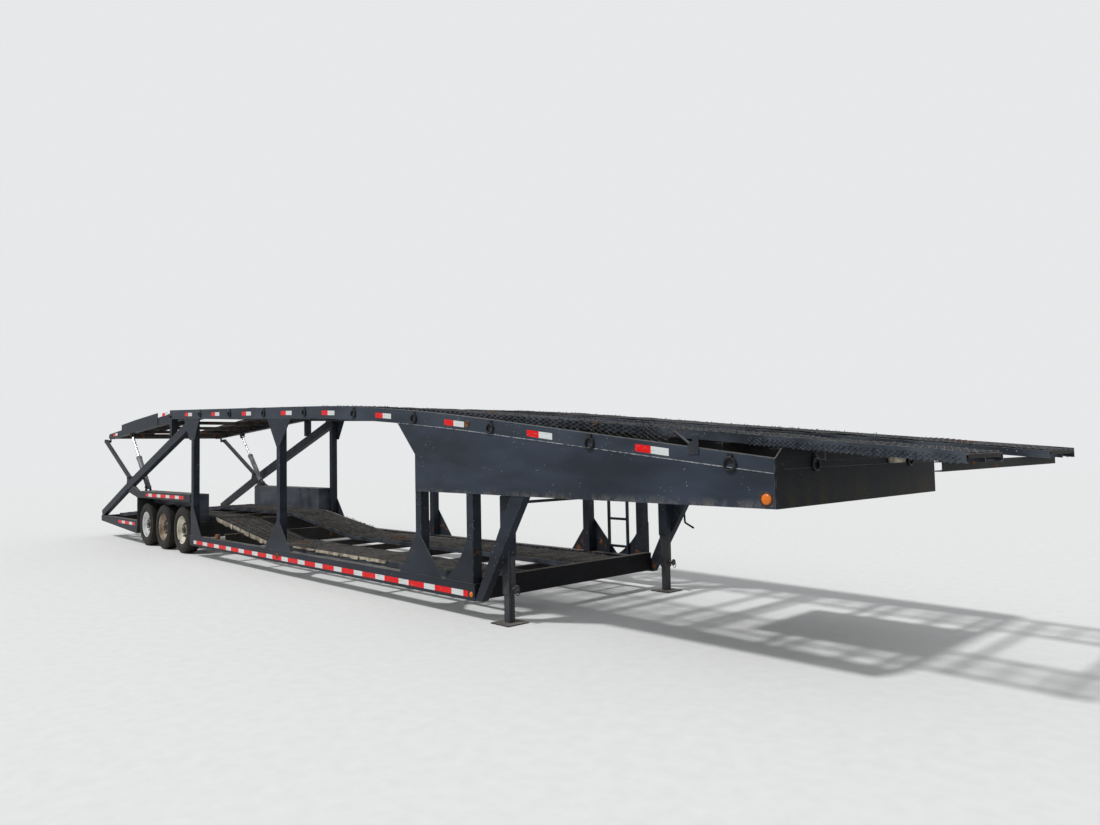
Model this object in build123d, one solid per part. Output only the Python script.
from build123d import *
from collections import namedtuple
import math
import os

# A two-deck car transporter semi-trailer standing on its landing legs.
# Sizes are millimetres. X points to the front, Y to the left and Z up, with the ground at Z = 0.
# Stations along X are measured from the front end of the lower side rails, and the whole trailer is moved to
# its own middle when it is written.

# Overall sizes
WIDTH = 2590
TAIL_X = -12880
BULKHEAD_X = 3250
RUNWAY_OVERHANG = 1110

# Plates, rolled sections and clearances
PLATE = 8
SEAT = 0.3
RUNNING_CLEARANCE = 0.05
RAIL_WIDTH = 88
RAIL_FLANGE = 10
CROSS_WIDTH = 60
CROSS_WALL = 6

HALF = WIDTH / 2
RUNWAY_TIP_X = BULKHEAD_X + RUNWAY_OVERHANG
MIDDLE_X = (TAIL_X + RUNWAY_TIP_X) / 2
FRAME_FACE = HALF - PLATE
RAIL_TIP = HALF - RAIL_WIDTH

# Upper side rails: two straight stretches joined by a long bend at the gooseneck
RAIL_REAR_X = -8500
RAIL_KNEE_X = -1738
RAIL_KNEE_Z = 2148
RAIL_DEPTH = 155
RAIL_REAR_SLOPE = -0.043
RAIL_FRONT_SLOPE = -0.130
RAIL_FRONT_DEPTH = 100
RAIL_BEND = 1900

# Upper runways, whose surface runs flush with the rails behind the bend and above them in front of it
RUNWAY_REAR_X = -8450
RUNWAY_KNEE_X = -2070
RUNWAY_KNEE_Z = 2162
RUNWAY_FRONT_SLOPE = -0.100
RUNWAY_BEND = 1800
UPPER_INNER = 480
UPPER_OUTER = 1100
UPPER_CROSS_STATIONS = [-8350, -7510, -6430, -5355, -4280, -3165, -2050, -940, -67, 860, 1340]
# The last four are set out from the bulkhead, two behind it and two in front of it
UPPER_CROSS_STATIONS += [BULKHEAD_X - 990, BULKHEAD_X - 500, BULKHEAD_X + 220, BULKHEAD_X + 950]

# Runway section, the same on every deck
MESH_THICK = 6
STRINGER_WIDTH = 40
STRINGER_WALL = 6
STRINGER_DROP = 60
RUNG_DEPTH = 25
RUNG_WIDTH = 40
RUNG_PITCH = 300
CURB_RISE = 10
MESH_SHEET = 2400
SHEET_GAP = 8

# Side posts: two that reach the upper rails and two under the gooseneck
POST_WIDTH = 100
MAST_STATIONS = [-7510, -4280]
NECK_POST_STATIONS = [-940, -67]

# Axles, wheels and tyres
AXLE_STATIONS = [-8110, -9060, -10000]
TYRE_RADIUS = 391
TYRE_WIDTH = 233
TYRE_FACE = HALF - 25
RIM_RADIUS = 222.3
WHEEL_CENTRE = TYRE_FACE - TYRE_WIDTH / 2
AXLE_TUBE_RADIUS = 57.5
SPINDLE_RADIUS = 35
HUB_RADIUS = 75

# Fender decks over the wheels
FENDER_INNER = TYRE_FACE - TYRE_WIDTH - 52
FENDER_REAR_X = AXLE_STATIONS[-1] - TYRE_RADIUS - 59
FENDER_FRONT_X = MAST_STATIONS[0] - POST_WIDTH / 2 - 40
FENDER_TOP = 2 * TYRE_RADIUS + 218
FENDER_EDGE = 120
FENDER_PLATE = 6
FENDER_LIP = 40

# Suspension
SUBFRAME_OUTER = FENDER_INNER - 145
SUBFRAME_INNER = SUBFRAME_OUTER - 80
SUBFRAME_BOTTOM = TYRE_RADIUS + 109
SUBFRAME_TOP = TYRE_RADIUS + 189
SUBFRAME_FRONT_X = -7430
SUBFRAME_REAR_X = -10620
EAR_THICK = 8
EAR_HALF = 45
LEAF_THICK = 12
LEAF_INSET = 2
SPRING_TOP = TYRE_RADIUS - 79
SPRING_CAMBER = 28
SPRING_END = 35
ROCKER_REACH = 150
ROCKER_TOE = 70
ROCKER_PIN_Z = TYRE_RADIUS + 14
ROCKER_PIN_RADIUS = 20

# Lower deck: flat in front, up a ramp to pass over the axles, down again at the tail
LOWER_INNER = 360
LOWER_OUTER = FENDER_INNER - 15
LOWER_Z = 341
OVER_AXLE_Z = SUBFRAME_TOP + 35
LOWER_REAR_X = TAIL_X + 90
LOWER_DECK = [(0, LOWER_Z), (-5300, LOWER_Z), (-7350, OVER_AXLE_Z), (-10600, OVER_AXLE_Z), (LOWER_REAR_X, 455)]

# Lower side rails
LOWER_RAIL_BOTTOM = 180
LOWER_RAIL_TOP = 340
LOWER_RAIL_REAR_X = FENDER_FRONT_X
REAR_RAIL_FRONT_X = FENDER_REAR_X
REAR_RAIL_TOP = 440
REAR_RAIL_FRONT_BOTTOM = 200
REAR_RAIL_TAIL_BOTTOM = 330

# Gooseneck
NECK_REAR_X = -1310
NECK_STEP_X = -980
NECK_STEP_Z = 1580
NECK_REAR_BOTTOM = 1200
NECK_FLANGE = 80
COUPLER_HEIGHT = 1167
COUPLER_PLATE = 10
COUPLER_LENGTH = 1450
COUPLER_HALF_WIDTH = 560
COUPLER_RIB_Y = 300
COUPLER_RIB_HEIGHT = 80
KINGPIN_SETBACK = 914
BULKHEAD_PLATE = 10
BULKHEAD_FLANGE = 90
NECK_CROSS_DEPTH = 100
NECK_FRONT_X = BULKHEAD_X - BULKHEAD_PLATE

# Rear diagonal braces
REAR_BRACE_WIDTH = 92
BRACE_INNER = FRAME_FACE - REAR_BRACE_WIDTH
BRACE_FOOT = (TAIL_X + 20, 480)
BRACE_JOINT = (-11040, 1100)
BRACE_SLOPE = 0.317
LOWER_BRACE_DEPTH = 130
UPPER_BRACE_DEPTH = 150

# Tail deck, hinged to the rear ends of the upper side rails and lowered between the rear braces
TAIL_HINGE_X = -8550
TAIL_HINGE_Z = 2330
TAIL_FRONT_X = -8490
TAIL_OUTER = BRACE_INNER - 30
TAIL_RAIL_WIDTH = 100
TAIL_INNER = TAIL_OUTER - TAIL_RAIL_WIDTH
TAIL_TOP_AT_HINGE = 2437
TAIL_TOP_SLOPE = 0.0662
TAIL_BOTTOM_AT_HINGE = 2275
TAIL_BOTTOM_SLOPE = 0.0532
TAIL_CROSS_STATIONS = [-8700, -9650, -10600, -11400, -12150]
TAIL_CROSS_DEPTH = 60
TAIL_TUBE_RADIUS = 45
HINGE_PIN_RADIUS = 20
HINGE_BOSS_RADIUS = 38
HINGE_BOSS = 14
STUB_LENGTH = 100
STUB_BOTTOM = 1990

# Lift cylinders between the fender decks and the tail deck
CYLINDER_Y = TAIL_OUTER - 54
CYLINDER_BASE_X = FENDER_REAR_X + 70
CYLINDER_BASE_Z = FENDER_TOP + 70
ROD_EYE_X = -11400
ROD_EYE_Z = 2062
BARREL_RADIUS = 47.5
BARREL_START = 58
BARREL_LENGTH = 820
BARREL_FLOOR = 80
GLAND_LENGTH = 40
GLAND_RISE = 5
ROD_RADIUS = 28.5
ROD_START = 660
BASE_PIN_RADIUS = 20
BASE_RADIUS = 42
BASE_WIDTH = 60
EYE_RADIUS = 36
EYE_WIDTH = 40
NECK_LENGTH = 14
LUG_THICK = 10
EYE_GAP = 3

# Prop arms, pinned to the rear braces and holding up the tail deck's tip
ARM_PIVOT = (-11060, 1240)
ARM_TIP_X = TAIL_X + 130
ARM_TIP_DROP = 52
ARM_INNER = BRACE_INNER + 20
ARM_THICK = 60
ARM_OUTER = ARM_INNER + ARM_THICK
ARM_DEPTH = 56
ARM_EYE_RADIUS = 38
ARM_PIN_RADIUS = 16
ARM_GAP = 4
TIP_BOSS_RADIUS = 26
TIP_BOSS_GAP = 6

# Landing gear
FRONT_BRACE_WIDTH = 80
BRACE_IN = FRAME_FACE - FRONT_BRACE_WIDTH
LEG_X = 340
LEG_WIDTH = 100
LEG_WALL = 6
LEG_BRACKET = 7
LEG_Y = BRACE_IN - LEG_BRACKET - LEG_WIDTH / 2
LEG_BOTTOM = 620
LEG_RAM_BOTTOM = 270
DROP_LEG_WIDTH = 70
FOOT_WIDTH = 250
FOOT_PLATE = 12
GEARBOX_DEPTH = 90
GEARBOX_HALF = 40
SHAFT_X = 440
CROSS_SHAFT_Z = 1115
CRANK_Z = 1065
CRANK_RADIUS = 11

# Access ladder
LADDER_STILES = (-625, -328)
LADDER_SIZE = 28
LADDER_RUNGS = (430, 757)

SIDES = (1, -1)


class Bend:
    """A side-view line: straight, a tangent arc that turns down towards the front, straight again."""

    def __init__(self, knee_x, knee_z, rear_slope, front_slope, tangent):
        self.knee = (knee_x, knee_z)
        self.rear_slope = rear_slope
        self.front_slope = front_slope
        self.tangent = tangent
        rear_angle = math.atan(rear_slope)
        front_angle = math.atan(front_slope)
        self.radius = tangent / math.tan((rear_angle - front_angle) / 2)
        self.start_x = knee_x - tangent * math.cos(rear_angle)
        self.end_x = knee_x + tangent * math.cos(front_angle)
        start_z = knee_z - tangent * math.sin(rear_angle)
        self.centre_x = self.start_x + self.radius * math.sin(rear_angle)
        self.centre_z = start_z - self.radius * math.cos(rear_angle)

    def z(self, x):
        if x <= self.start_x:
            return self.knee[1] + self.rear_slope * (x - self.knee[0])
        if x >= self.end_x:
            return self.knee[1] + self.front_slope * (x - self.knee[0])
        return self.centre_z + math.sqrt(self.radius**2 - (x - self.centre_x) ** 2)

    def lowered(self, drop):
        return Bend(self.knee[0], self.knee[1] - drop, self.rear_slope, self.front_slope, self.tangent)

    def edges(self, x_low, x_high):
        arc_low = max(x_low, self.start_x)
        arc_high = min(x_high, self.end_x)
        if arc_low >= arc_high:
            return [Line((x_low, self.z(x_low)), (x_high, self.z(x_high)))]
        parts = []
        if x_low < arc_low:
            parts.append(Line((x_low, self.z(x_low)), (arc_low, self.z(arc_low))))
        parts.append(arc_through(self, arc_low, arc_high))
        if arc_high < x_high:
            parts.append(Line((arc_high, self.z(arc_high)), (x_high, self.z(x_high))))
        return parts


class Course:
    """A side-view line of straight stretches through a few (x, z) points."""

    def __init__(self, points):
        self.points = sorted(points)

    def z(self, x):
        for (x0, z0), (x1, z1) in zip(self.points, self.points[1:]):
            if x <= x1 or (x1, z1) == self.points[-1]:
                return z0 + (z1 - z0) * (x - x0) / (x1 - x0)

    def lowered(self, drop):
        return Course([(x, z - drop) for x, z in self.points])

    def edges(self, x_low, x_high):
        inner = [x for x, _ in self.points if x_low < x < x_high]
        stations = [x_low] + inner + [x_high]
        ends = [(x, self.z(x)) for x in stations]
        return [Line(a, b) for a, b in zip(ends, ends[1:])]


class Arch:
    """A side-view arc whose ends stand above its middle, as a leaf spring's do."""

    def __init__(self, x, z, half, camber):
        self.x = x
        self.middle_z = z
        self.half = half
        self.camber = camber
        self.radius = (half**2 + camber**2) / (2 * camber)

    def z(self, x):
        return self.middle_z + self.radius - math.sqrt(self.radius**2 - (x - self.x) ** 2)

    def lowered(self, drop):
        return Arch(self.x, self.middle_z - drop, self.half, self.camber)

    def edges(self, x_low, x_high):
        return [arc_through(self, x_low, x_high)]


def arc_through(line, x_low, x_high):
    middle = (x_low + x_high) / 2
    return ThreePointArc(*[(x, line.z(x)) for x in (x_low, middle, x_high)])


def level(z, x_low, x_high):
    return Course([(x_low, z), (x_high, z)])


def face_from(edges, y_near):
    """A face in the side view, standing at y_near and ready to be extruded towards +Y."""
    return Plane.XZ.offset(-y_near) * make_face(edges)


def span(side, inner, outer):
    """The low and high Y of a piece that lies from inner to outer on one side of the trailer."""
    return (inner, outer) if side > 0 else (-outer, -inner)


def plate(edges, side, inner, outer):
    """A side outline of edges made solid across one side of the trailer."""
    low, high = span(side, inner, outer)
    return extrude(face_from(edges, low), -(high - low))


def prism(points, side, inner, outer):
    """A side outline of (x, z) points made solid across one side of the trailer."""
    return plate(Polyline(*points, close=True), side, inner, outer)


def strip(top, bottom, x_low, x_high, side, inner, outer):
    """The solid between two side-view lines, across one side of the trailer."""
    ends = [Line((x, bottom.z(x)), (x, top.z(x))) for x in (x_low, x_high)]
    return plate(top.edges(x_low, x_high) + bottom.edges(x_low, x_high) + ends, side, inner, outer)


def block(x_low, x_high, y_low, y_high, z_low, z_high):
    size = (x_high - x_low, y_high - y_low, z_high - z_low)
    place = ((x_low + x_high) / 2, (y_low + y_high) / 2, (z_low + z_high) / 2)
    return Pos(*place) * Box(*size)


def side_block(side, x_low, x_high, inner, outer, z_low, z_high):
    return block(x_low, x_high, *span(side, inner, outer), z_low, z_high)


def cross_pin(x, z, radius, side, inner, outer):
    """A round bar along Y."""
    low, high = span(side, inner, outer)
    return Pos(x, (low + high) / 2, z) * Rot(90, 0, 0) * Cylinder(radius, high - low)


def cross_channel(x, bottom, top, low, high, width=CROSS_WIDTH):
    """A channel lying across the trailer, open to the rear, with its web in front."""
    rear = x - width / 2
    front = x + width / 2
    wall = CROSS_WALL
    points = [(rear, bottom), (front, bottom), (front, top), (rear, top)]
    points += [(rear, top - wall), (front - wall, top - wall)]
    points += [(front - wall, bottom + wall), (rear, bottom + wall)]
    return prism(points, 1, low, high)


def channel_rail(top, bottom, x_low, x_high, side, inner, outer, web=PLATE, flange=RAIL_FLANGE):
    """A side rail: a channel with its web outboard and its flanges turned inboard."""
    body = strip(top, bottom, x_low, x_high, side, inner, outer)
    hollow = strip(top.lowered(flange), bottom.lowered(-flange), x_low, x_high, side, inner - 1, outer - web)
    return body - hollow


def bar_between(start, end, depth, side, inner, outer):
    """A straight bar in the side view, from one (x, z) point to another."""
    length = math.dist(start, end)
    across_x = -(end[1] - start[1]) / length * depth / 2
    across_z = (end[0] - start[0]) / length * depth / 2
    corners = []
    for (x, z), turn in ((start, 1), (end, 1), (end, -1), (start, -1)):
        corners.append((x + across_x * turn, z + across_z * turn))
    return prism(corners, side, inner, outer)


def fused(solids):
    whole = solids[0]
    for solid in solids[1:]:
        whole = whole + solid
    return whole


def write(name, solids):
    """Move the solids to the trailer's own middle and write them as one node."""
    pieces = []
    for solid in solids:
        pieces += solid.solids()
    moved = [Pos(-MIDDLE_X, 0, 0) * piece for piece in pieces]
    shape = moved[0] if len(moved) == 1 else Compound(children=moved)
    export_step(shape, os.path.join("parts", name + ".step"))


# Lines in the side view that many pieces share
RAIL_TOP = Bend(RAIL_KNEE_X, RAIL_KNEE_Z, RAIL_REAR_SLOPE, RAIL_FRONT_SLOPE, RAIL_BEND)
RAIL_FRONT_UNDER = RAIL_TOP.z(BULKHEAD_X) - RAIL_FRONT_DEPTH
RAIL_UNDER_KNEE = RAIL_KNEE_Z - RAIL_DEPTH
RAIL_UNDER_SLOPE = (RAIL_FRONT_UNDER - RAIL_UNDER_KNEE) / (BULKHEAD_X - RAIL_KNEE_X)
RAIL_UNDER = Bend(RAIL_KNEE_X, RAIL_UNDER_KNEE, RAIL_REAR_SLOPE, RAIL_UNDER_SLOPE, RAIL_BEND)
RUNWAY = Bend(RUNWAY_KNEE_X, RUNWAY_KNEE_Z, RAIL_REAR_SLOPE, RUNWAY_FRONT_SLOPE, RUNWAY_BEND)
LOWER = Course(LOWER_DECK)
NECK_UNDER = Course([(NECK_STEP_X - POST_WIDTH, NECK_REAR_BOTTOM), (NECK_FRONT_X, COUPLER_HEIGHT)])


def tail_line(z_at_hinge, slope):
    ends = (TAIL_X, TAIL_FRONT_X)
    return Course([(x, z_at_hinge + slope * (x - TAIL_HINGE_X)) for x in ends])


TAIL_TOP = tail_line(TAIL_TOP_AT_HINGE, TAIL_TOP_SLOPE)
TAIL_UNDER = tail_line(TAIL_BOTTOM_AT_HINGE, TAIL_BOTTOM_SLOPE)
TAIL_TUBE_X = TAIL_X + TAIL_TUBE_RADIUS
TAIL_TUBE_Z = (TAIL_TOP.z(TAIL_TUBE_X) + TAIL_UNDER.z(TAIL_TUBE_X)) / 2
TAIL_DECK_ENDS = (TAIL_X + 2 * TAIL_TUBE_RADIUS + SEAT, TAIL_FRONT_X - 20)
ARM_TIP = (ARM_TIP_X, TAIL_UNDER.z(ARM_TIP_X) - ARM_TIP_DROP)


# Runways: stringers, rungs and mesh sheets
def runway_stringers(surface, x_low, x_high, inner, outer, curb):
    """Channel stringers open towards each other, and a bar between them under the rungs."""
    foot = surface.lowered(STRINGER_DROP)
    under_mesh = surface.lowered(MESH_THICK + SEAT)
    under_rung = surface.lowered(MESH_THICK + RUNG_DEPTH)
    crest = surface.lowered(-CURB_RISE)
    bar_inner = (inner + outer - STRINGER_WALL) / 2
    wall = STRINGER_WALL
    made = []
    for side in SIDES:
        beam = strip(under_mesh, foot, x_low, x_high, side, inner, inner + STRINGER_WIDTH)
        hollow = strip(under_mesh.lowered(wall), foot.lowered(-wall), x_low, x_high, side,
                       inner + wall, inner + STRINGER_WIDTH + 1)
        made.append(beam - hollow)
        made.append(strip(under_rung, foot, x_low, x_high, side, bar_inner, bar_inner + wall))
        if curb:
            near = outer - STRINGER_WIDTH
            beam = channel_rail(under_mesh, foot, x_low, x_high, side, near, outer, wall, wall)
            made.append(beam + strip(crest, foot, x_low, x_high, side, outer - wall, outer))
    return made


def runway_rungs(surface, x_low, x_high, inner, outer):
    """Flat rungs under the mesh, evenly spaced from one end of a runway to the other."""
    top = surface.lowered(MESH_THICK + SEAT)
    foot = surface.lowered(MESH_THICK + RUNG_DEPTH - SEAT)
    first = x_low + RUNG_WIDTH / 2
    last = x_high - RUNG_WIDTH / 2
    count = round((last - first) / RUNG_PITCH)
    made = []
    for index in range(count + 1):
        rear = first + (last - first) * index / count - RUNG_WIDTH / 2
        front = rear + RUNG_WIDTH
        outline = [(rear, foot.z(rear)), (front, foot.z(front)), (front, top.z(front)), (rear, top.z(rear))]
        for side in SIDES:
            made.append(prism(outline, side, inner, outer))
    return made


def runway_mesh(surface, x_low, x_high, inner, outer):
    """Expanded-metal sheets laid end to end, drawn as plain sheets of their outer thickness."""
    foot = surface.lowered(MESH_THICK)
    count = math.ceil((x_high - x_low) / MESH_SHEET)
    length = (x_high - x_low) / count
    made = []
    for index in range(count):
        start = x_low + length * index + SHEET_GAP / 2
        for side in SIDES:
            made.append(strip(surface, foot, start, start + length - SHEET_GAP, side, inner, outer))
    return made


# Fixed frame
def upper_side_rails():
    made = []
    for side in SIDES:
        made.append(channel_rail(RAIL_TOP, RAIL_UNDER, RAIL_REAR_X, NECK_FRONT_X, side, RAIL_TIP, HALF))
    return made


def lower_side_rails():
    top = level(LOWER_RAIL_TOP, LOWER_RAIL_REAR_X, 0)
    bottom = level(LOWER_RAIL_BOTTOM, LOWER_RAIL_REAR_X, 0)
    rear_top = level(REAR_RAIL_TOP, TAIL_X, REAR_RAIL_FRONT_X)
    rear_bottom = Course([(TAIL_X, REAR_RAIL_TAIL_BOTTOM), (REAR_RAIL_FRONT_X, REAR_RAIL_FRONT_BOTTOM)])
    made = []
    for side in SIDES:
        made.append(channel_rail(top, bottom, LOWER_RAIL_REAR_X, 0, side, RAIL_TIP, HALF))
        made.append(channel_rail(rear_top, rear_bottom, TAIL_X, REAR_RAIL_FRONT_X, side, RAIL_TIP, HALF))
    return made


def side_posts():
    foot = level(LOWER_RAIL_TOP, LOWER_RAIL_REAR_X, 0)
    made = []
    for stations, head in ((MAST_STATIONS, RAIL_UNDER), (NECK_POST_STATIONS, NECK_UNDER)):
        for station in stations:
            rear = station - POST_WIDTH / 2
            front = station + POST_WIDTH / 2
            for side in SIDES:
                made.append(strip(head, foot, rear, front, side, FRAME_FACE - POST_WIDTH, FRAME_FACE))
    return made


Gusset = namedtuple("Gusset", "station rear front height tip on_upper_rail hollow")
FLUSH = POST_WIDTH / 2
GUSSETS = [
    Gusset(station=-7510, rear=392, front=316, height=345, tip=110, on_upper_rail=True, hollow=0),
    Gusset(station=-4280, rear=330, front=395, height=400, tip=20, on_upper_rail=True, hollow=0),
    Gusset(station=-4280, rear=400, front=370, height=409, tip=20, on_upper_rail=False, hollow=0),
    Gusset(station=-940, rear=354, front=416, height=427, tip=20, on_upper_rail=False, hollow=0),
    Gusset(station=-67, rear=430, front=FLUSH, height=400, tip=FLUSH, on_upper_rail=False, hollow=45),
    Gusset(station=-7510, rear=FLUSH, front=420, height=460, tip=FLUSH, on_upper_rail=False, hollow=0),
]


def gusset_edge(base, tip, hollow):
    """The sloping edge of a gusset, straight or cut to a hollow curve."""
    if not hollow:
        return Line(base, tip)
    length = math.dist(base, tip)
    away_x = (tip[1] - base[1]) / length * hollow
    away_z = -(tip[0] - base[0]) / length * hollow
    return ThreePointArc(base, ((base[0] + tip[0]) / 2 + away_x, (base[1] + tip[1]) / 2 + away_z), tip)


def gusset_plates():
    """Plates lapped over the posts, flush with the rails' outer faces."""
    made = []
    for g in GUSSETS:
        base_line = RAIL_UNDER if g.on_upper_rail else level(LOWER_RAIL_TOP, LOWER_RAIL_REAR_X, 0)
        tip_z = base_line.z(g.station) + (-g.height if g.on_upper_rail else g.height)
        rear = g.station - g.rear
        front = g.station + g.front
        rear_tip = (g.station - g.tip, tip_z)
        front_tip = (g.station + min(g.tip, g.front), tip_z)
        edges = base_line.edges(rear, front)
        edges.append(gusset_edge((rear, base_line.z(rear)), rear_tip, g.hollow))
        edges.append(Line(rear_tip, front_tip))
        edges.append(Line(front_tip, (front, base_line.z(front))))
        for side in SIDES:
            made.append(plate(edges, side, FRAME_FACE, HALF))
    return made


def gooseneck_side_plates():
    """Side plates with a stepped rear end, and the flange along their lower edge."""
    corners = [(NECK_REAR_X, RAIL_UNDER.z(NECK_REAR_X)), (NECK_STEP_X, NECK_STEP_Z)]
    corners += [(x, NECK_UNDER.z(x)) for x in (NECK_STEP_X, NECK_FRONT_X)]
    corners.append((NECK_FRONT_X, RAIL_UNDER.z(NECK_FRONT_X)))
    edges = [Line(a, b) for a, b in zip(corners, corners[1:])]
    edges += RAIL_UNDER.edges(NECK_REAR_X, NECK_FRONT_X)
    made = []
    for side in SIDES:
        web = plate(edges, side, FRAME_FACE, HALF)
        flange = strip(NECK_UNDER.lowered(-PLATE), NECK_UNDER, NECK_STEP_X, NECK_FRONT_X, side,
                       FRAME_FACE - NECK_FLANGE, FRAME_FACE)
        made.append(web + flange)
    return made


def front_bulkhead():
    """The plate across the front, cut to the rails at its corners, with a flange that carries the runways."""
    top = RUNWAY.z(BULKHEAD_X) - STRINGER_DROP - SEAT
    shoulder = RAIL_TOP.z(NECK_FRONT_X)
    right = [(HALF, COUPLER_HEIGHT), (HALF, shoulder), (RAIL_TIP, top)]
    left = [(-y, z) for y, z in reversed(right)]
    section = Plane.YZ.offset(NECK_FRONT_X) * make_face(Polyline(*right, *left, close=True))
    wall = extrude(section, BULKHEAD_PLATE)
    flange = block(BULKHEAD_X - BULKHEAD_FLANGE, NECK_FRONT_X, -RAIL_TIP, RAIL_TIP, top - PLATE, top)
    return [wall + flange]


KINGPIN_X = BULKHEAD_X - KINGPIN_SETBACK
KINGPIN_SHOULDER = 36.5
NECK_CROSS_STATIONS = [LEG_X, 1340, BULKHEAD_X - 1100, BULKHEAD_X - 120]


def coupler_plate():
    """The plate that lies on a tractor's fifth wheel, with two ribs between the crossmembers above it."""
    top = COUPLER_HEIGHT + COUPLER_PLATE
    rear = BULKHEAD_X - COUPLER_LENGTH
    sheet = block(rear, NECK_FRONT_X, -COUPLER_HALF_WIDTH, COUPLER_HALF_WIDTH, COUPLER_HEIGHT, top)
    hole = Cylinder(KINGPIN_SHOULDER + RUNNING_CLEARANCE, 4 * COUPLER_PLATE)
    sheet = sheet - Pos(KINGPIN_X, 0, COUPLER_HEIGHT) * hole
    rib_rear = NECK_CROSS_STATIONS[2] + CROSS_WIDTH / 2
    rib_front = NECK_CROSS_STATIONS[3] - CROSS_WIDTH / 2
    for side in SIDES:
        sheet = sheet + side_block(side, rib_rear, rib_front, COUPLER_RIB_Y, COUPLER_RIB_Y + PLATE, top,
                                   top + COUPLER_RIB_HEIGHT)
    return [sheet]


def kingpin():
    """A two-inch kingpin: flange on the plate, shoulder, neck that the fifth wheel's jaws hold, and head."""
    flange = 16
    shoulder = COUPLER_PLATE + 34
    neck = 35
    head = 15
    z = COUPLER_HEIGHT + COUPLER_PLATE + flange
    corners = [(0, z)]
    for radius, length in ((90, flange), (KINGPIN_SHOULDER, shoulder), (25.4, neck), (35.7, head)):
        corners += [(radius, z), (radius, z - length)]
        z -= length
    corners.append((0, z))
    pin = revolve(Plane.XZ * make_face(Polyline(*corners, close=True)), Axis.Z)
    return [Pos(KINGPIN_X, 0, 0) * pin]


def upper_crossmembers():
    made = []
    for station in UPPER_CROSS_STATIONS:
        rear = station - CROSS_WIDTH / 2
        front = station + CROSS_WIDTH / 2
        top = RUNWAY.z(front) - STRINGER_DROP - SEAT
        if rear > BULKHEAD_X:
            made.append(cross_channel(station, top - CROSS_WIDTH, top, -UPPER_OUTER, UPPER_OUTER))
            continue
        bottom = RAIL_UNDER.z(rear) + RAIL_FLANGE + 2
        between_flanges = top < RAIL_TOP.z(front) - RAIL_FLANGE
        reach = FRAME_FACE if between_flanges else RAIL_TIP
        made.append(cross_channel(station, bottom, top, -reach, reach))
    foot = COUPLER_HEIGHT + COUPLER_PLATE
    reach = FRAME_FACE - NECK_FLANGE
    for station in NECK_CROSS_STATIONS:
        made.append(cross_channel(station, foot, foot + NECK_CROSS_DEPTH, -reach, reach))
    return made


FRONT_BRACE_FOOT = (0, 100)
FRONT_BRACE_HEAD = (545, 729)


def front_braces():
    """Raking braces from the front end of the lower rails to the gooseneck's lower flange."""
    foot_z = LOWER_RAIL_BOTTOM + 5
    outline = [(FRONT_BRACE_FOOT[0], foot_z), (FRONT_BRACE_FOOT[1], foot_z)]
    outline += [(x, NECK_UNDER.z(x)) for x in reversed(FRONT_BRACE_HEAD)]
    return [prism(outline, side, BRACE_IN, FRAME_FACE) for side in SIDES]


def end_crossbeams():
    front = block(0, 80, -BRACE_IN, BRACE_IN, 200, 400)
    rear = block(TAIL_X, TAIL_X + 90, -RAIL_TIP, RAIL_TIP, 300, REAR_RAIL_TOP)
    return [front, rear]


DeepMember = namedtuple("DeepMember", "station bottom")
LOW_STATIONS = [-940, -2050, -3160, -4280, -5270]
DEEP_MEMBERS = [
    DeepMember(station=-6350, bottom=200),
    DeepMember(station=SUBFRAME_FRONT_X + CROSS_WIDTH / 2, bottom=300),
    DeepMember(station=SUBFRAME_REAR_X - CROSS_WIDTH / 2, bottom=300),
    DeepMember(station=-11700, bottom=340),
]


def lower_crossmembers():
    made = []
    for station in LOW_STATIONS:
        top = LOWER.z(station) - STRINGER_DROP
        bottom = LOWER_RAIL_BOTTOM + RAIL_FLANGE + 2
        made.append(cross_channel(station, bottom, top, -FRAME_FACE, FRAME_FACE))
    for member in DEEP_MEMBERS:
        edges = (member.station - CROSS_WIDTH / 2, member.station + CROSS_WIDTH / 2)
        top = min(LOWER.z(x) for x in edges) - STRINGER_DROP
        made.append(cross_channel(member.station, member.bottom, top, -RAIL_TIP, RAIL_TIP))
    for station in hanger_stations()[1:3]:
        top = LOWER.z(station) - STRINGER_DROP
        inner = SUBFRAME_INNER - EAR_THICK
        made.append(cross_channel(station, SUBFRAME_BOTTOM, top, -inner, inner))
        for side in SIDES:
            low, high = span(side, SUBFRAME_OUTER + EAR_THICK, FENDER_INNER)
            made.append(cross_channel(station, SUBFRAME_BOTTOM, top, low, high))
    return made


# Running gear
def spring_reach():
    """Half a spring's length: its ends lie under the toes of the rockers between the axles."""
    spacing = min(front - rear for front, rear in zip(AXLE_STATIONS, AXLE_STATIONS[1:]))
    return spacing / 2 - ROCKER_REACH + ROCKER_TOE / 2


def hanger_stations():
    first, middle, last = AXLE_STATIONS
    end = spring_reach() + SPRING_END
    return [first + end, (first + middle) / 2, (middle + last) / 2, last - end]


def spring_end_z():
    return SPRING_TOP + SPRING_CAMBER + SEAT


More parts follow.
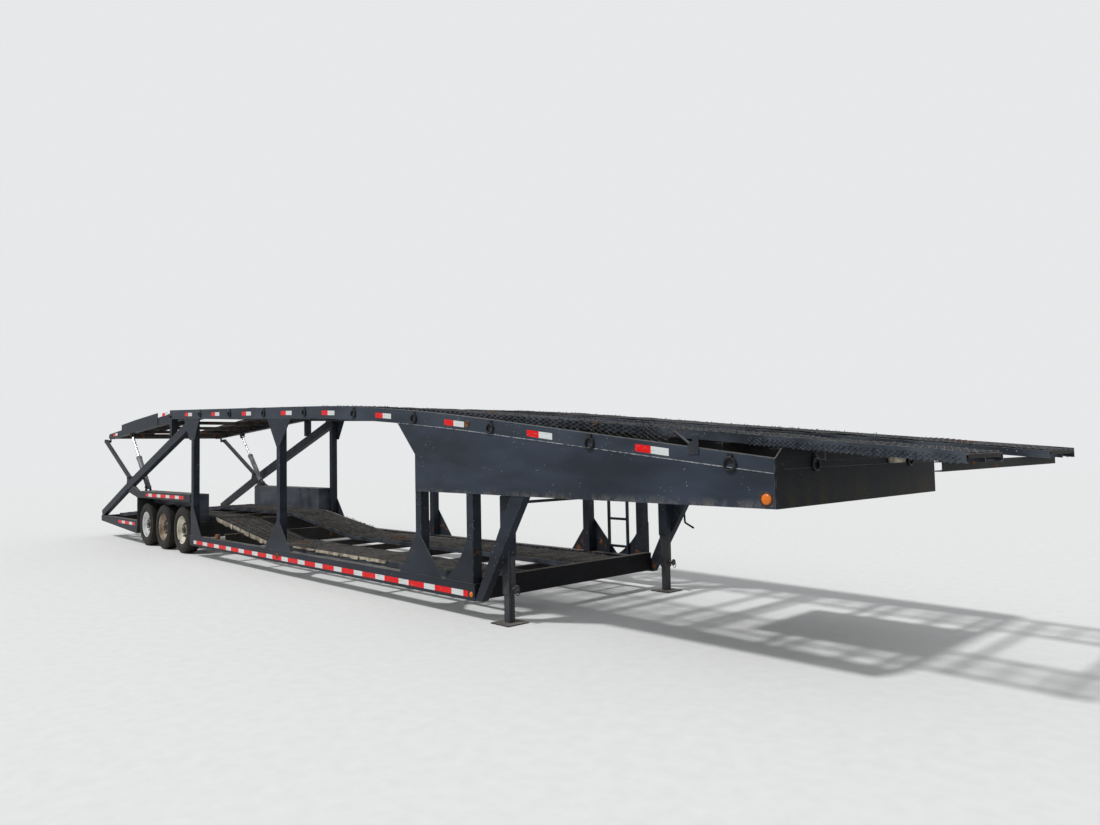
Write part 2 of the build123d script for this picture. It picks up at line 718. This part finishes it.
def hanger(x, side, with_rocker):
    """Two plates lapped on the beam's sides, with a rocker's pin or a wear pad between them."""
    top = SUBFRAME_TOP - 20
    foot = ROCKER_PIN_Z if with_rocker else spring_end_z()
    outline = [(x - EAR_HALF, top), (x - EAR_HALF, foot), (x - EAR_HALF / 2, foot - EAR_HALF)]
    outline += [(x + EAR_HALF / 2, foot - EAR_HALF), (x + EAR_HALF, foot), (x + EAR_HALF, top)]
    solids = [prism(outline, side, SUBFRAME_INNER - EAR_THICK, SUBFRAME_INNER),
              prism(outline, side, SUBFRAME_OUTER, SUBFRAME_OUTER + EAR_THICK)]
    if with_rocker:
        solids.append(cross_pin(x, ROCKER_PIN_Z, ROCKER_PIN_RADIUS, side, SUBFRAME_INNER, SUBFRAME_OUTER))
    else:
        pad = side_block(side, x - EAR_HALF, x + EAR_HALF, SUBFRAME_INNER, SUBFRAME_OUTER, foot, foot + 20)
        solids.append(pad)
    return solids


def axle_subframe():
    """Two long beams over the axles, each with four spring hangers."""
    made = []
    for side in SIDES:
        beam = side_block(side, SUBFRAME_REAR_X, SUBFRAME_FRONT_X, SUBFRAME_INNER, SUBFRAME_OUTER,
                          SUBFRAME_BOTTOM, SUBFRAME_TOP)
        solids = [beam]
        for index, x in enumerate(hanger_stations()):
            solids += hanger(x, side, with_rocker=index in (1, 2))
        made.append(fused(solids))
    return made


def spring_equalizers():
    """Rockers that share the load between neighbouring springs."""
    toe = spring_end_z()
    pin_z = ROCKER_PIN_Z
    half = [(0, pin_z + 34), (36, pin_z + 34), (ROCKER_REACH, toe + 34), (ROCKER_REACH, toe)]
    half += [(ROCKER_REACH - ROCKER_TOE, toe), (36, pin_z - 34), (0, pin_z - 34)]
    outline = half + [(-x, z) for x, z in reversed(half[1:-1])]
    low = SUBFRAME_INNER + LEAF_INSET
    high = SUBFRAME_OUTER - LEAF_INSET
    made = []
    for x in hanger_stations()[1:3]:
        for side in SIDES:
            rocker = prism([(x + dx, z) for dx, z in outline], side, low, high)
            hole = cross_pin(x, pin_z, ROCKER_PIN_RADIUS + RUNNING_CLEARANCE, side, low - 1, high + 1)
            made.append(rocker - hole)
    return made


LEAF_SHARES = [1.0, 0.78, 0.56, 0.34]


def leaf_springs():
    """Leaf packs slung under the axles, each leaf shorter than the one above it."""
    reach = spring_reach()
    made = []
    for axle in AXLE_STATIONS:
        top = Arch(axle, SPRING_TOP, reach, SPRING_CAMBER)
        for side in SIDES:
            leaves = []
            for count, share in enumerate(LEAF_SHARES):
                upper = top.lowered(count * LEAF_THICK)
                half = reach * share
                leaves.append(strip(upper, upper.lowered(LEAF_THICK), axle - half, axle + half, side,
                                    SUBFRAME_INNER + LEAF_INSET, SUBFRAME_OUTER - LEAF_INSET))
            made.append(fused(leaves))
    return made


def axles():
    """Tube, spring seats, brake backing plates and spindles of each axle."""
    made = []
    end = WHEEL_CENTRE - 110
    for x in AXLE_STATIONS:
        solids = [cross_pin(x, TYRE_RADIUS, AXLE_TUBE_RADIUS, 1, -end, end)]
        for side in SIDES:
            solids.append(side_block(side, x - 50, x + 50, SUBFRAME_INNER + 5, SUBFRAME_OUTER - 5,
                                     SPRING_TOP + 1, TYRE_RADIUS))
            solids.append(cross_pin(x, TYRE_RADIUS, 140, side, end - 12, end))
            solids.append(cross_pin(x, TYRE_RADIUS, SPINDLE_RADIUS, side, end - 2, WHEEL_CENTRE + 50))
        made.append(fused(solids))
    return made


def revolved(outline, x, side):
    """Turn a (radius, outboard) outline about a spindle's axis."""
    face = make_face(Polyline(*[(r, side * y) for r, y in outline], close=True))
    return Pos(x, side * WHEEL_CENTRE, TYRE_RADIUS) * revolve(face, Axis.Y)


def tyre(x, side):
    """A tyre with an open inside, bulging sidewalls and rounded shoulders."""
    half = TYRE_WIDTH / 2
    bead = half - 29
    wall = 18
    shoulder = [(TYRE_RADIUS - 91, half), (TYRE_RADIUS - 30, half - 6), (TYRE_RADIUS - 9, half - 20)]
    outer = [(RIM_RADIUS, bead)] + shoulder + [(TYRE_RADIUS, half - 36)]
    inner = [(RIM_RADIUS, bead - wall), (TYRE_RADIUS - 91, half - wall), (TYRE_RADIUS - 30, half - 34)]
    outline = outer + [(r, -y) for r, y in reversed(outer)] + [(r, -y) for r, y in inner]
    outline += list(reversed(inner))
    return [revolved(outline, x, side)]


def wheel(x, side):
    """Rim, dished disc, hub and brake drum in one turned solid with a bored hub."""
    bore = SPINDLE_RADIUS + RUNNING_CLEARANCE
    bed = RIM_RADIUS - SEAT
    outline = [(bed + 13, -97), (bed, -88), (bed, -56), (bed - 20, -38), (bed - 20, 26), (bed, 48), (bed, 88)]
    outline += [(bed + 13, 97), (bed + 6, 97), (bed - 26, 30), (bed - 72, 14), (HUB_RADIUS, 14)]
    outline += [(HUB_RADIUS, 56), (HUB_RADIUS - 16, 70), (0, 70), (0, 55), (bore, 55), (bore, -80), (165, -80)]
    outline += [(165, 2), (bed - 26, 18), (bed + 6, -97)]
    return [revolved(outline, x, side)]


def fender_decks():
    """Tops over the wheels, with a deep edge turned down and in along the outside."""
    edge = FENDER_TOP - FENDER_EDGE
    outline = [(FENDER_INNER, FENDER_TOP), (HALF, FENDER_TOP), (HALF, edge), (HALF - FENDER_LIP, edge)]
    outline += [(HALF - FENDER_LIP, edge + PLATE), (HALF - PLATE, edge + PLATE)]
    outline += [(HALF - PLATE, FENDER_TOP - FENDER_PLATE), (FENDER_INNER, FENDER_TOP - FENDER_PLATE)]
    made = []
    for side in SIDES:
        section = make_face(Polyline(*[(side * y, z) for y, z in outline], close=True))
        made.append(extrude(Plane.YZ.offset(FENDER_REAR_X) * section, FENDER_FRONT_X - FENDER_REAR_X))
    return made


def wheel_box_panels():
    """Inner and end walls of the wheel boxes."""
    top = FENDER_TOP - FENDER_PLATE
    wall = FENDER_PLATE
    inner = FENDER_INNER + wall
    outer = HALF - FENDER_LIP
    made = []
    for side in SIDES:
        made.append(side_block(side, FENDER_REAR_X, FENDER_FRONT_X, FENDER_INNER, inner, OVER_AXLE_Z, top))
        made.append(side_block(side, FENDER_REAR_X, FENDER_REAR_X + wall, inner, outer, REAR_RAIL_TOP, top))
        made.append(side_block(side, FENDER_FRONT_X - wall, FENDER_FRONT_X, inner, outer, LOWER_RAIL_TOP, top))
    return made


# Rear braces and what the moving parts hang on
def brace_rise():
    return UPPER_BRACE_DEPTH / 2 * math.sqrt(1 + BRACE_SLOPE**2)


def brace_z(x):
    return BRACE_JOINT[1] + BRACE_SLOPE * (x - BRACE_JOINT[0])


def rear_brace(side):
    """The upper brace ends on the rear post and under the upper rail, the lower one on the lower rail."""
    rise = brace_rise()
    joint_x = BRACE_JOINT[0]
    post_x = MAST_STATIONS[0] - POST_WIDTH / 2
    meet_x = joint_x + (RAIL_UNDER.z(joint_x) - brace_z(joint_x) - rise) / (BRACE_SLOPE - RAIL_REAR_SLOPE)
    outline = [(x, brace_z(x) - rise) for x in (joint_x, post_x)]
    outline += [(x, RAIL_UNDER.z(x)) for x in (post_x, meet_x)]
    outline.append((joint_x, brace_z(joint_x) + rise))
    upper = prism(outline, side, BRACE_INNER, FRAME_FACE)
    lower = bar_between(BRACE_FOOT, BRACE_JOINT, LOWER_BRACE_DEPTH, side, BRACE_INNER, FRAME_FACE)
    below = side_block(side, TAIL_X - 400, joint_x, BRACE_INNER - 1, HALF, 0, REAR_RAIL_TOP)
    return upper + (lower - below)


def rear_braces():
    return [rear_brace(side) for side in SIDES]


def hinge_stub(side):
    """A tube stub behind each upper rail, carrying the tail deck's hinge pin."""
    front = RAIL_REAR_X
    rear = front - STUB_LENGTH
    wall = PLATE
    tube = side_block(side, rear, front, BRACE_INNER, HALF, STUB_BOTTOM, RAIL_TOP.z(front))
    bore = side_block(side, rear + wall, front - wall, BRACE_INNER + wall, HALF - wall, STUB_BOTTOM - 1,
                      RAIL_TOP.z(front) - wall)
    pin_inner = TAIL_OUTER - PLATE - HINGE_BOSS
    pin = cross_pin(TAIL_HINGE_X, TAIL_HINGE_Z, HINGE_PIN_RADIUS, side, pin_inner, BRACE_INNER + wall)
    return tube - bore + pin


def cylinder_foot(side):
    """Two lugs on the fender deck with the pin of a lift cylinder between them."""
    reach = BASE_WIDTH / 2 + EYE_GAP + LUG_THICK
    x = CYLINDER_BASE_X
    z = CYLINDER_BASE_Z
    outline = [(x - 60, FENDER_TOP), (x + 60, FENDER_TOP), (x + 25, z + 30), (x - 25, z + 30)]
    solids = [cross_pin(x, z, BASE_PIN_RADIUS, side, CYLINDER_Y - reach, CYLINDER_Y + reach)]
    for inner in (CYLINDER_Y - reach, CYLINDER_Y + reach - LUG_THICK):
        solids.append(prism(outline, side, inner, inner + LUG_THICK))
    return fused(solids)


def arm_clevis(side):
    """Two ears on the rear brace with the pin of a prop arm between them."""
    x, z = ARM_PIVOT
    inner = ARM_INNER - ARM_GAP - LUG_THICK
    outer = min(ARM_OUTER + ARM_GAP + LUG_THICK, FRAME_FACE)
    brace_top = brace_z(x) + brace_rise()
    outline = [(x - 75, brace_top - 30), (x + 90, brace_top + 20), (x + 30, z + 35), (x - 30, z + 35)]
    solids = [cross_pin(x, z, ARM_PIN_RADIUS, side, inner, outer)]
    for low, high in ((inner, inner + LUG_THICK), (outer - LUG_THICK, outer)):
        solids.append(prism(outline, side, low, high))
    return fused(solids) - rear_brace(side)


def brace_tie(side):
    """A short strut from the brace's joint to the fender deck's rear corner."""
    x, z = BRACE_JOINT
    outline = [(x + 30, z - 130), (FENDER_REAR_X, FENDER_TOP - FENDER_EDGE), (FENDER_REAR_X, FENDER_TOP)]
    outline.append((x + 300, z - 10))
    return prism(outline, side, FRAME_FACE - 60, FRAME_FACE) - rear_brace(side)


def pivot_brackets():
    made = []
    for side in SIDES:
        made += [hinge_stub(side), cylinder_foot(side), arm_clevis(side), brace_tie(side)]
    return made


def access_ladder():
    """A short ladder under the gooseneck on the left side."""
    half = LADDER_SIZE / 2
    foot = level(LOWER_RAIL_TOP, LOWER_RAIL_REAR_X, 0)
    inner = FRAME_FACE - LADDER_SIZE
    solids = [strip(NECK_UNDER, foot, x - half, x + half, 1, inner, FRAME_FACE) for x in LADDER_STILES]
    for z in LADDER_RUNGS:
        solids.append(block(LADDER_STILES[0], LADDER_STILES[1], inner, FRAME_FACE, z - half, z + half))
    return [fused(solids)]


# Landing gear
def leg_block(side, half, z_low, z_high):
    """A square bar on a leg's middle line."""
    return side_block(side, LEG_X - half, LEG_X + half, LEG_Y - half, LEG_Y + half, z_low, z_high)


def landing_legs():
    """Outer leg tubes with the plates that bolt them to the front braces."""
    top = COUPLER_HEIGHT + COUPLER_PLATE
    half = LEG_WIDTH / 2
    outer = LEG_Y + half
    outline = [(LEG_X - half, top), (LEG_X - half, 760), (LEG_X + half + 20, 760)]
    outline.append((FRONT_BRACE_HEAD[0] + 60, top))
    made = []
    for side in SIDES:
        tube = leg_block(side, half, LEG_BOTTOM, top)
        hollow = leg_block(side, half - LEG_WALL, LEG_BOTTOM - 1, top - 60)
        bracket = prism(outline, side, outer, outer + LEG_BRACKET)
        hole = cross_pin(SHAFT_X, CRANK_Z, CRANK_RADIUS + 3, side, outer - 1, outer + LEG_BRACKET + 1)
        made.append(tube - hollow + (bracket - hole))
    return made


def landing_leg_feet():
    """Inner legs, drop legs with their pull pins, and foot plates."""
    ram = LEG_WIDTH / 2 - LEG_WALL - SEAT
    made = []
    for side in SIDES:
        solids = [
            leg_block(side, ram, LEG_RAM_BOTTOM, LEG_BOTTOM + 150),
            leg_block(side, DROP_LEG_WIDTH / 2, 0, LEG_RAM_BOTTOM),
            leg_block(side, FOOT_WIDTH / 2, 0, FOOT_PLATE),
            Pos(LEG_X + ram + 35, side * LEG_Y, LEG_RAM_BOTTOM + 55) * Rot(0, 90, 0) * Cylinder(13, 72),
        ]
        made.append(fused(solids))
    return made


def landing_gear_crank():
    """Gearboxes in front of the legs, the shaft between them and the crank that hangs on the left."""
    half = LEG_WIDTH / 2
    front = LEG_X + half
    inner = LEG_Y - 25
    outer = LEG_Y + 40
    top = CROSS_SHAFT_Z + GEARBOX_HALF
    left = block(front, front + GEARBOX_DEPTH, inner, outer, CRANK_Z - GEARBOX_HALF, top)
    right = block(front, front + GEARBOX_DEPTH, -outer, -inner, CROSS_SHAFT_Z - GEARBOX_HALF, top)
    cross = cross_pin(SHAFT_X, CROSS_SHAFT_Z, 14, 1, -inner, inner)
    hang_y = HALF + 75
    start = (SHAFT_X, outer, CRANK_Z)
    route = [start, (SHAFT_X, hang_y, CRANK_Z), (SHAFT_X + 10, hang_y + 5, 750)]
    route.append((SHAFT_X + 75, hang_y + 80, 685))
    path = FilletPolyline(*route, radius=28)
    handle = sweep(Plane(origin=start, z_dir=(0, 1, 0)) * Circle(CRANK_RADIUS), path)
    return [left, right, cross, handle]


# Tail deck
def tail_rails():
    """Side rails with bored hinge bosses, lugs for the rods' eyes and bosses for the prop arms' lock pins."""
    tip_x, tip_z = ARM_TIP
    reach = EYE_WIDTH / 2 + EYE_GAP
    lug = [(x, TAIL_UNDER.z(x)) for x in (ROD_EYE_X - 85, ROD_EYE_X + 80)]
    lug += [(ROD_EYE_X + 38, ROD_EYE_Z), (ROD_EYE_X + 20, ROD_EYE_Z - 38)]
    lug += [(ROD_EYE_X - 20, ROD_EYE_Z - 38), (ROD_EYE_X - 38, ROD_EYE_Z)]
    ear = [(x, TAIL_UNDER.z(x)) for x in (tip_x - 50, tip_x + 50)]
    ear += [(tip_x + 30, tip_z - 30), (tip_x - 30, tip_z - 30)]
    boss_inner = TAIL_OUTER - PLATE - HINGE_BOSS
    bore = HINGE_PIN_RADIUS + RUNNING_CLEARANCE
    made = []
    for side in SIDES:
        rail = channel_rail(TAIL_TOP, TAIL_UNDER, TAIL_TUBE_X, TAIL_FRONT_X, side, TAIL_INNER, TAIL_OUTER)
        notch = cross_pin(TAIL_TUBE_X, TAIL_TUBE_Z, TAIL_TUBE_RADIUS + SEAT, side, TAIL_INNER - 1,
                          TAIL_OUTER + 1)
        boss = cross_pin(TAIL_HINGE_X, TAIL_HINGE_Z, HINGE_BOSS_RADIUS, side, boss_inner, TAIL_OUTER)
        solids = [rail - notch, boss]
        for inner in (CYLINDER_Y - reach - LUG_THICK, CYLINDER_Y + reach):
            solids.append(prism(lug, side, inner, inner + LUG_THICK))
        solids.append(prism(ear, side, TAIL_OUTER - PLATE, TAIL_OUTER))
        tip = cross_pin(tip_x, tip_z, TIP_BOSS_RADIUS, side, TAIL_OUTER - PLATE, ARM_INNER - TIP_BOSS_GAP)
        hole = cross_pin(TAIL_HINGE_X, TAIL_HINGE_Z, bore, side, boss_inner - 1, TAIL_OUTER + 1)
        made.append(fused(solids + [tip]) - hole)
    return made


def tail_crossmembers():
    made = []
    for station in TAIL_CROSS_STATIONS:
        top = TAIL_TOP.z(station - CROSS_WIDTH / 2) - STRINGER_DROP
        made.append(cross_channel(station, top - TAIL_CROSS_DEPTH, top, -TAIL_INNER, TAIL_INNER))
    made.append(cross_pin(TAIL_TUBE_X, TAIL_TUBE_Z, TAIL_TUBE_RADIUS, 1, -TAIL_OUTER, TAIL_OUTER))
    made += runway_rungs(TAIL_TOP, *TAIL_DECK_ENDS, UPPER_INNER + STRINGER_WIDTH, TAIL_INNER)
    return made


def tail_stringers():
    return runway_stringers(TAIL_TOP, *TAIL_DECK_ENDS, UPPER_INNER, TAIL_INNER, curb=False)


def tail_mesh():
    return runway_mesh(TAIL_TOP, *TAIL_DECK_ENDS, UPPER_INNER, TAIL_INNER)


SIDE_PLATE_REAR_X = -11930
SIDE_PLATE_FRONT_X = -9660
SIDE_PLATE_TOP = [(-9660, 2449), (-11000, 2379), (-11930, 2316)]


def tail_side_plates():
    """Raised plates outside the tail deck's rails."""
    base = [(x, TAIL_UNDER.z(x)) for x in (SIDE_PLATE_REAR_X, SIDE_PLATE_FRONT_X)]
    return [prism(base + SIDE_PLATE_TOP, side, TAIL_OUTER, TAIL_OUTER + PLATE) for side in SIDES]


# Lift cylinders and prop arms
CYLINDER_DX = ROD_EYE_X - CYLINDER_BASE_X
CYLINDER_DZ = ROD_EYE_Z - CYLINDER_BASE_Z
CYLINDER_LENGTH = math.hypot(CYLINDER_DX, CYLINDER_DZ)


def along_cylinder(start, end, radius, side):
    """A round bar on the cylinder's axis, from one distance to another from its base pin."""
    middle = (start + end) / 2 / CYLINDER_LENGTH
    centre = (CYLINDER_BASE_X + CYLINDER_DX * middle, side * CYLINDER_Y, CYLINDER_BASE_Z + CYLINDER_DZ * middle)
    return Plane(origin=centre, z_dir=(CYLINDER_DX, 0, CYLINDER_DZ)) * Cylinder(radius, end - start)


def lift_cylinder_barrels():
    """Barrels with a bored base eye, a gland at the open end and a bore for the rod."""
    half = BASE_WIDTH / 2
    made = []
    for side in SIDES:
        solids = [
            along_cylinder(0, BARREL_START + 1, half, side),
            along_cylinder(BARREL_START, BARREL_LENGTH, BARREL_RADIUS, side),
            along_cylinder(BARREL_LENGTH - GLAND_LENGTH, BARREL_LENGTH, BARREL_RADIUS + GLAND_RISE, side),
            cross_pin(CYLINDER_BASE_X, CYLINDER_BASE_Z, BASE_RADIUS, side, CYLINDER_Y - half,
                      CYLINDER_Y + half),
        ]
        hole = cross_pin(CYLINDER_BASE_X, CYLINDER_BASE_Z, BASE_PIN_RADIUS + RUNNING_CLEARANCE, side,
                         CYLINDER_Y - BASE_WIDTH, CYLINDER_Y + BASE_WIDTH)
        hollow = along_cylinder(BARREL_FLOOR, BARREL_LENGTH + 1, ROD_RADIUS + RUNNING_CLEARANCE, side)
        made.append(fused(solids) - hole - hollow)
    return made


def lift_cylinder_rods():
    """Rods whose eyes lie between the tail deck's lugs, where the linkage is open."""
    half = EYE_WIDTH / 2
    rod_end = CYLINDER_LENGTH - EYE_RADIUS - NECK_LENGTH
    made = []
    for side in SIDES:
        solids = [
            along_cylinder(ROD_START, rod_end, ROD_RADIUS, side),
            along_cylinder(rod_end - 1, CYLINDER_LENGTH, half, side),
            cross_pin(ROD_EYE_X, ROD_EYE_Z, EYE_RADIUS, side, CYLINDER_Y - half, CYLINDER_Y + half),
        ]
        made.append(fused(solids))
    return made


def prop_arm(side):
    bar = bar_between(ARM_PIVOT, ARM_TIP, ARM_DEPTH, side, ARM_INNER, ARM_OUTER)
    for (x, z), radius in ((ARM_PIVOT, ARM_PIN_RADIUS + RUNNING_CLEARANCE), (ARM_TIP, ARM_PIN_RADIUS + 1)):
        bar = bar + cross_pin(x, z, ARM_EYE_RADIUS, side, ARM_INNER, ARM_OUTER)
        bar = bar - cross_pin(x, z, radius, side, ARM_INNER - 1, ARM_OUTER + 1)
    return [bar]


def main():
    os.makedirs("parts", exist_ok=True)
    upper_ends = (RUNWAY_REAR_X, RUNWAY_TIP_X)
    lower_ends = (LOWER_REAR_X, 0)
    inset = STRINGER_WIDTH
    wall = STRINGER_WALL
    stringers = runway_stringers(RUNWAY, *upper_ends, UPPER_INNER, UPPER_OUTER, curb=True)
    stringers += runway_stringers(LOWER, *lower_ends, LOWER_INNER, LOWER_OUTER, curb=True)
    rungs = runway_rungs(RUNWAY, *upper_ends, UPPER_INNER + inset, UPPER_OUTER - inset)
    rungs += runway_rungs(LOWER, *lower_ends, LOWER_INNER + inset, LOWER_OUTER - inset)
    nodes = {
        "upper_side_rails": upper_side_rails(),
        "lower_side_rails": lower_side_rails(),
        "side_posts": side_posts(),
        "gusset_plates": gusset_plates(),
        "gooseneck_side_plates": gooseneck_side_plates(),
        "front_bulkhead": front_bulkhead(),
        "coupler_plate": coupler_plate(),
        "kingpin": kingpin(),
        "upper_crossmembers": upper_crossmembers(),
        "lower_crossmembers": lower_crossmembers(),
        "end_crossbeams": end_crossbeams(),
        "front_braces": front_braces(),
        "rear_braces": rear_braces(),
        "pivot_brackets": pivot_brackets(),
        "runway_stringers": stringers,
        "runway_rungs": rungs,
        "upper_deck_mesh": runway_mesh(RUNWAY, *upper_ends, UPPER_INNER, UPPER_OUTER - wall - SEAT),
        "lower_deck_mesh": runway_mesh(LOWER, *lower_ends, LOWER_INNER, LOWER_OUTER - wall - SEAT),
        "axle_subframe": axle_subframe(),
        "spring_equalizers": spring_equalizers(),
        "leaf_springs": leaf_springs(),
        "axles": axles(),
        "fender_decks": fender_decks(),
        "wheel_box_panels": wheel_box_panels(),
        "access_ladder": access_ladder(),
        "landing_legs": landing_legs(),
        "landing_leg_feet": landing_leg_feet(),
        "landing_gear_crank": landing_gear_crank(),
        "tail_rails": tail_rails(),
        "tail_crossmembers": tail_crossmembers(),
        "tail_stringers": tail_stringers(),
        "tail_mesh": tail_mesh(),
        "tail_side_plates": tail_side_plates(),
        "lift_cylinder_barrels": lift_cylinder_barrels(),
        "lift_cylinder_rods": lift_cylinder_rods(),
        "prop_arm_left": prop_arm(1),
        "prop_arm_right": prop_arm(-1),
    }
    for index, x in enumerate(AXLE_STATIONS, start=1):
        for side, label in ((1, "left"), (-1, "right")):
            nodes[f"wheel_{index}_{label}"] = wheel(x, side)
            nodes[f"tyre_{index}_{label}"] = tyre(x, side)
    for name, solids in nodes.items():
        write(name, solids)


main()
